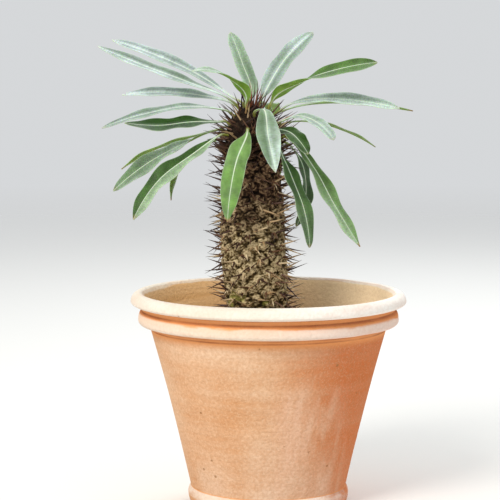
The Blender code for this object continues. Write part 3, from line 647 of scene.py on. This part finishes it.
def smooth_path(points, rows):
    """Points on a smooth curve through the given ones, and the share of its length at each."""
    spans = [(end - start).length for start, end in zip(points, points[1:])]
    slopes = [(end - start) / span for start, end, span in zip(points, points[1:], spans)]
    leans = [slopes[0]]
    for before, after, span, next_span in zip(slopes, slopes[1:], spans, spans[1:]):
        leans.append((before * next_span + after * span) / (span + next_span))
    leans.append(slopes[-1] * 2 - leans[-1])
    curve = []
    for index, span in enumerate(spans):
        start, end = points[index], points[index + 1]
        first, last = start + leans[index] * span / 3, end - leans[index + 1] * span / 3
        curve += geometry.interpolate_bezier(start, first, last, end, CURVE_STEPS + 1)[:-1]
    curve.append(points[-1])
    lengths = [0.0]
    for start, end in zip(curve, curve[1:]):
        lengths.append(lengths[-1] + (end - start).length)
    shares = [0.7 * row / rows + 0.3 * math.sin(row / rows * math.pi / 2) for row in range(rows + 1)]
    path, place = [], 0
    for share in shares:
        wanted = lengths[-1] * share
        while place < len(curve) - 2 and lengths[place + 1] < wanted:
            place += 1
        part = (wanted - lengths[place]) / (lengths[place + 1] - lengths[place])
        path.append(curve[place].lerp(curve[place + 1], min(1, part)))
    return path, shares


def blade_share(share, open_at, tip):
    """Width of the blade along its length: a narrow petiole, a strap, a round or pointed tip."""
    close_from = 0.70 - 0.16 * tip
    closing = max(0.0, (share - close_from) / (1 - close_from))
    return eased(share, 0.05, open_at) * (1 - closing ** (3 - tip)) ** (0.55 + 0.45 * tip)


def leaf_material(name, youth, bloom_and_sheen_left, bloom_and_sheen_right, sky_reflection_share, bloom_and_sheen_at_tip, brown_tip):
    """Green under a waxy bloom that carries painted sheen and a painted sky reflection, lighter and
    yellower below partly by painted bounce light, with a pale midrib and fine cross veins.
    """
    material, tree, shader, place = new_material(name, 0.5, 0.14)
    marks = ("along", "across", "reach", "under")
    along, across, reach, under = [mark_of(tree, mark) for mark in marks]
    dark, fresh = Vector((0.022, 0.062, 0.010)), Vector((0.160, 0.310, 0.062))
    green = tuple(dark.lerp(fresh, youth))
    # Painted reflection of the sky: the bloom's colour turns bluish-grey as the sky share grows.
    bloom_and_sky_tone = tuple(Vector((0.50, 0.66, 0.44)).lerp(Vector((0.60, 0.695, 0.715)), sky_reflection_share))
    spots = mottle(tree, place, 85, 0.35, 0.68, 4)
    wisps = mottle(tree, place, 44, 0.36, 0.64, 4)
    distance = add_node(tree, "CombineXYZ", {0: along, 1: times(tree, reach, 0.012)})
    veins = mottle(tree, stretched(tree, distance.outputs[0], (95, 18, 1)), 1, 0.42, 0.62, 2)
    upper = mixed(tree, spots, tuple(Vector(green) * 0.66), tuple(Vector(green) * 1.28))
    # The bloom's share differs between the halves and grows at the tip and edges: partly the real bloom,
    # partly painted sheen.
    bloom_and_sheen = graded(tree, across, -0.12, 0.12, bloom_and_sheen_left, bloom_and_sheen_right)
    bloom_and_sheen = sums(tree, "ADD", bloom_and_sheen, graded(tree, reach, 0.6, 3.6, 0.55 * sky_reflection_share, 0))
    bloom_and_sheen = times(tree, bloom_and_sheen, graded(tree, along, 0.45, 0.75, 1, bloom_and_sheen_at_tip))
    bloom_and_sheen = times(tree, bloom_and_sheen, graded(tree, wisps, 0, 1, 0.62, 1.1))
    margin = graded(tree, sums(tree, "ABSOLUTE", across), 0.50, 0.95, 0.84, 1.4)
    bloom_and_sheen = times(tree, bloom_and_sheen, margin)
    bloom_and_sheen = times(tree, bloom_and_sheen, graded(tree, veins, 0, 1, 1, 0.76))
    upper = mixed(tree, bloom_and_sheen, upper, bloom_and_sky_tone)
    # Underside colour: its own paler green, made yellower by painted bounce light.
    lower = mixed(tree, spots, (0.13, 0.26, 0.018), (0.21, 0.36, 0.035))
    lower = mixed(tree, times(tree, wisps, 0.15), lower, (0.34, 0.45, 0.24))
    blade = mixed(tree, under, upper, lower)
    rib_width = graded(tree, along, 0.05, 0.95, 0.78, 0.18)
    rib = graded(tree, sums(tree, "SUBTRACT", reach, rib_width), -0.20, 0.22, 1, 0)
    blade = mixed(tree, times(tree, rib, 0.85), blade, (0.66, 0.76, 0.58))
    edge = graded(tree, sums(tree, "ABSOLUTE", across), 0.93, 0.99)
    blade = mixed(tree, times(tree, edge, 0.4), blade, (0.62, 0.70, 0.56))
    stalk = graded(tree, along, 0.16, 0.05)
    blade = mixed(tree, stalk, blade, mixed(tree, spots, (0.20, 0.22, 0.035), (0.36, 0.36, 0.07)))
    scorch = graded(tree, sums(tree, "ADD", along, times(tree, spots, 0.02)), 0.965, 1.0)
    blade = mixed(tree, times(tree, scorch, brown_tip), blade, (0.30, 0.17, 0.06))
    tree.links.new(blade, shader.inputs["Base Color"])
    tree.links.new(graded(tree, bloom_and_sheen, 0, 1, 0.46, 0.66), shader.inputs["Roughness"])
    shader.inputs["Subsurface Weight"].default_value = 0.25
    shader.inputs["Subsurface Radius"].default_value = (0.35, 0.9, 0.15)
    shader.inputs["Subsurface Scale"].default_value = 1.5 * MM
    relief = sums(tree, "ADD", times(tree, veins, 0.5), times(tree, spots, 0.5))
    raise_surface(tree, shader, relief, 0.4 * MM, 0.7)
    return material


def make_leaf(leaf):
    """A blade folded along its midrib, as a grid in its mid-surface that is then given its body."""
    name, compass, height, width, open_at, tip, turn_at_seat, turn_at_tip, wave, midrib = leaf[:10]
    angle = math.radians(compass)
    outward = stem_outward(angle, height * MM)
    seat = stem_point(angle, height * MM)
    seat = stem_tree.ray_cast(seat + outward * OUTSIDE, -outward)[0] - outward * SEAT_DEPTH
    points = [seat, seat + outward * STRAIGHT_OUT] + [Vector(point) * MM for point in midrib]
    path, shares = smooth_path(points, LEAF_ROWS)
    heading = points[-1] - points[0]
    heading = Vector((heading.x, heading.y, 0)).normalized()
    builder = bmesh.new()
    marks = {mark: builder.verts.layers.float.new(mark) for mark in ("along", "across", "reach", "under")}
    bmesh.ops.create_grid(builder, x_segments=LEAF_ROWS, y_segments=2 * HALF_COLUMNS, size=1)
    above = {}
    for vert in builder.verts:
        row, side = round((vert.co.x + 1) / 2 * LEAF_ROWS), vert.co.y
        share = shares[row]
        along = (path[min(row + 1, LEAF_ROWS)] - path[max(row - 1, 0)]).normalized()
        up = Vector((0, 0, 1)) * along.dot(heading) - heading * along.z
        up = (up - along * up.dot(along)).normalized()
        across = along.cross(up)
        turn = math.radians(turn_at_seat + (turn_at_tip - turn_at_seat) * eased(share, 0.1, 0.75))
        across, up = (across * math.cos(turn) - up * math.sin(turn),
                      up * math.cos(turn) + across * math.sin(turn))
        opened = blade_share(share, open_at, tip)
        uneven = 1 + 0.05 * noise.noise(Vector((share * 9, compass, side / abs(side) if side else 0)))
        half = max(PETIOLE_WIDTH * (1 - 0.7 * share), width * opened * uneven) / 2
        phase = math.radians(1150 * share + 90 * side + 40 * compass)
        ripple = wave * opened * math.sin(phase) * abs(side) ** 1.5
        fold = LEAF_FOLD * opened
        out = abs(side)
        lift = half * math.sin(fold) * (1.35 * out - 0.35 * out ** 3) + ripple
        vert.co = path[row] + (across * side * half * math.cos(fold) + up * lift) * MM
        vert[marks["along"]] = share
        vert[marks["across"]] = side
        vert[marks["reach"]] = out * half
        # Thickness of the blade, the midrib that stands out below it and the groove above, in millimetres.
        body = 0.45 + 0.45 * (1 - out ** 4) + 0.55 * max(0, 1 - 4 * share)
        rib = 0.75 * (1 - 0.75 * share) * math.exp(-(out * half / 0.9) ** 2)
        groove = 0.28 * (1 - share) * math.exp(-(out * half / 0.8) ** 2) * opened
        above[vert] = (up * (body / 2 - groove) * MM, -up * (body / 2 + rib) * MM)
    face_up = list(builder.faces)
    body = bmesh.ops.extrude_face_region(builder, geom=face_up)["geom"]
    lower = [vert for vert in body if isinstance(vert, bmesh.types.BMVert)]
    index_of = {}
    for vert in above:
        index_of.setdefault(tuple(round(value * 1e7) for value in vert.co), vert)
    for vert in lower:
        twin = index_of[tuple(round(value * 1e7) for value in vert.co)]
        vert[marks["under"]] = 1
        vert.co += above[twin][1]
    for vert, (lift, _) in above.items():
        vert.co += lift
    return finished(name + "_blade", builder, leaf_material(name, *leaf[10:]), "foliage", name, sharp=75)


leaves = [make_leaf(leaf) for leaf in LEAVES]


# Spines
# Hard needles: a pair of long ones and up to three short ones on each tubercle, a dark tuft between the
# petioles, and a red-brown bud at the top. They grow out of the bark, brown at first and tan with age.
TUFT_SPINES = 170
BUD_SPINES = 12
PAIR_LENGTH, PAIR_RADIUS = 23.5, 1.2 * MM
PAIR_SPREAD = math.radians(24)
SHORT_LENGTH, SHORT_RADIUS = 10 * MM, 0.85 * MM
TUFT_LENGTH, TUFT_RADIUS = 23 * MM, 1.15 * MM
BUD_LENGTH, BUD_RADIUS = 25 * MM, 1.05 * MM
SPINE_ROOT = 2 * MM
CLEAR_OF_LEAF, CLEAR_OF_SOIL = 0.8 * MM, 3 * MM
CLEARANCE_STEPS = 18


def spine_material():
    """Dark brown to tan by each spine's tone, red-brown in the bud, and dark towards the point."""
    material, tree, shader, place = new_material("spine", 0.42, 0.35)
    tone, reach = mark_of(tree, "tone"), mark_of(tree, "reach")
    brown = mixed(tree, graded(tree, tone, 0, 0.3), (0.022, 0.010, 0.009), (0.066, 0.028, 0.018))
    brown = mixed(tree, graded(tree, tone, 0.3, 0.6), brown, (0.165, 0.080, 0.042))
    tan = mixed(tree, graded(tree, tone, 0.66, 1), (0.34, 0.20, 0.085), (0.74, 0.59, 0.37))
    colour = mixed(tree, graded(tree, tone, 0.60, 0.66), brown, tan)
    colour = mixed(tree, graded(tree, reach, 0.55, 0.9), colour, (0.040, 0.018, 0.012))
    colour = mixed(tree, graded(tree, tone, -0.1, -0.4), colour, (0.26, 0.072, 0.022))
    tree.links.new(colour, shader.inputs["Base Color"])
    raise_surface(tree, shader, mottle(tree, place, 900, 0.3, 0.7, 2), 0.1 * MM)
    return material


def graded_share(value, low, high):
    """How far a value is from low to high, from 0 to 1."""
    return min(1, max(0, (value - low) / (high - low)))


def spine_places(rng):
    """Angle, height, length, radius, sideways and upward lean and tone of every spine."""
    places = []
    for angle, height in sites:
        if height > SHOULDER + 12 * MM:
            continue
        old = graded_share(height, 345 * MM, 290 * MM)
        for side in (-1, 1):
            length = (PAIR_LENGTH - 3 * old) * MM * rng.uniform(0.62, 1.15)
            spread = side * PAIR_SPREAD * rng.uniform(0.4, 1.5)
            lift = math.radians(rng.uniform(-32, 34) + 14 * (1 - old))
            tone = rng.uniform(0.1, 0.58) if rng.random() > 0.38 * old else rng.uniform(0.7, 1)
            places.append((angle + side * 0.045, height, length, PAIR_RADIUS, spread, lift, tone))
        for _ in range(rng.randint(0, 2) + (old > 0.5)):
            places.append((angle + rng.uniform(-0.12, 0.12), height + rng.uniform(-3, 2) * MM,
                           SHORT_LENGTH * rng.uniform(0.6, 1.4), SHORT_RADIUS, rng.uniform(-1.15, 1.15),
                           rng.uniform(-1.0, 0.6), rng.uniform(0.2, 0.6) + 0.4 * (rng.random() < 0.4)))
    for index in range(TUFT_SPINES):
        rise = (index + 0.5) / TUFT_SPINES
        height = SHOULDER - 18 * MM + (APEX - SHOULDER + 17 * MM) * rise
        length = TUFT_LENGTH * rng.uniform(0.7, 1.2)
        lift = math.radians(rng.uniform(5, 62) * (1 - 0.8 * rise))
        tone = rng.uniform(0, 0.6) if rng.random() > 0.15 else rng.uniform(0.66, 0.85)
        places.append((index * GOLDEN_ANGLE, height, length, TUFT_RADIUS, rng.uniform(-0.9, 0.9), lift,
                       tone))
    for index in range(BUD_SPINES):
        places.append((index * GOLDEN_ANGLE, APEX - 0.1 * index * MM, BUD_LENGTH * rng.uniform(0.5, 1.1),
                       BUD_RADIUS, rng.uniform(-0.28, 0.28), rng.uniform(-0.24, 0.24),
                       rng.uniform(-0.5, -0.05)))
    return places


def clear_of_leaves(root, direction, length, trees):
    """True where a spine keeps off every leaf and off the soil."""
    if (root + direction * length).z < SOIL_TOP + CLEAR_OF_SOIL:
        return False
    for step in range(2, CLEARANCE_STEPS + 1):
        point = root + direction * length * step / CLEARANCE_STEPS
        if any(tree.find_nearest(point, CLEAR_OF_LEAF)[0] is not None for tree in trees):
            return False
    return True


def needle_shape():
    """A thin cone one unit long, in four parts so that it can bend."""
    builder = bmesh.new()
    bmesh.ops.create_cone(builder, cap_ends=True, segments=6, radius1=1, radius2=0.06, depth=1,
                          matrix=Matrix.Translation((0, 0, 0.5)))
    long_edges = [edge for edge in builder.edges if abs(edge.verts[0].co.z - edge.verts[1].co.z) > 0.5]
    bmesh.ops.subdivide_edges(builder, edges=long_edges, cuts=3, use_grid_fill=True)
    mesh = bpy.data.meshes.new("needle")
    builder.to_mesh(mesh)
    builder.free()
    return mesh


def make_spines():
    """Every spine, bent a little, and raised or lowered past a leaf that is in its way."""
    rng = random.Random(11)
    graph = bpy.context.evaluated_depsgraph_get()
    leaf_trees = [BVHTree.FromObject(leaf, graph) for leaf in leaves]
    shape = needle_shape()
    builder = bmesh.new()
    tone_mark = builder.verts.layers.float.new("tone")
    reach_mark = builder.verts.layers.float.new("reach")
    for angle, height, length, radius, spread, lift, tone in spine_places(rng):
        outward = stem_outward(angle, height)
        root = stem_tree.ray_cast(stem_point(angle, height) + outward * OUTSIDE, -outward)[0]
        sideways = Vector((-math.sin(angle), math.cos(angle), 0))
        for bend in (0, 14, -14, 28, -28, 42):
            direction = outward + sideways * math.tan(spread)
            direction += outward.cross(sideways) * math.tan(lift + math.radians(bend))
            direction.normalize()
            if clear_of_leaves(root, direction, length, leaf_trees):
                break
        else:
            continue
        placing = Matrix.Translation(root - direction * SPINE_ROOT)
        placing = placing @ direction.to_track_quat("Z", "Y").to_matrix().to_4x4()
        curl = Vector((rng.uniform(-1, 1), rng.uniform(-1, 1), 0)) * length * 0.07
        first = len(builder.verts)
        builder.from_mesh(shape)
        builder.verts.ensure_lookup_table()
        for vert in builder.verts[first:]:
            reach = vert.co.z
            vert[tone_mark] = tone
            vert[reach_mark] = reach
            vert.co = Vector((vert.co.x * radius, vert.co.y * radius, reach * (length + SPINE_ROOT)))
            vert.co = placing @ (vert.co + curl * reach * reach)
    return finished("spines", builder, spine_material(), "bark", sharp=60)


bpy.context.view_layer.update()
make_spines()
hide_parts("trunk")


# Table and light
# A pale plain ground that fades into the pale room, one broad soft light above on the left, and a
# weaker one behind, as from two large windows.
ground_builder = bmesh.new()
bmesh.ops.create_circle(ground_builder, cap_ends=True, segments=96, radius=6)
ground_mesh = bpy.data.meshes.new("ground")
ground_builder.to_mesh(ground_mesh)
ground_builder.free()
ground_material, ground_tree, ground_shader, ground_place = new_material("ground", 0.9, 0.2)
ground_distance = add_node(ground_tree, "VectorMath", {0: ground_place}, operation="LENGTH")
ground_shader.inputs["Base Color"].default_value = (0.80, 0.79, 0.76, 1)
ground_tree.links.new(graded(ground_tree, ground_distance.outputs["Value"], 0.8, 4.5, 1, 0),
                      ground_shader.inputs["Alpha"])
ground_mesh.materials.append(ground_material)
ground = bpy.data.objects.new("ground", ground_mesh)
ground.location.z = -0.2 * MM
bpy.context.scene.collection.objects.link(ground)


def soft_light(name, place, target, size, power, colour):
    """A square light at a place, turned towards its target."""
    light = bpy.data.lights.new(name, "AREA")
    light.shape = "SQUARE"
    light.size = size
    light.energy = power
    light.color = colour
    lamp = bpy.data.objects.new(name, light)
    lamp.location = place
    lamp.rotation_euler = (Vector(target) - Vector(place)).to_track_quat("-Z", "Y").to_euler()
    bpy.context.scene.collection.objects.link(lamp)


soft_light("window_light", (-1.25, -1.9, 2.0), (0, 0, 0.25), 1.0, 62, (1.0, 0.97, 0.92))
soft_light("back_light", (0.7, 1.7, 1.9), (0, 0, 0.35), 1.4, 30, (0.95, 0.98, 1.0))
room = bpy.data.worlds.new("room")
room.use_nodes = True
room.node_tree.nodes["Background"].inputs["Color"].default_value = (0.93, 0.95, 0.97, 1)
room.node_tree.nodes["Background"].inputs["Strength"].default_value = 0.72
bpy.context.scene.world = room
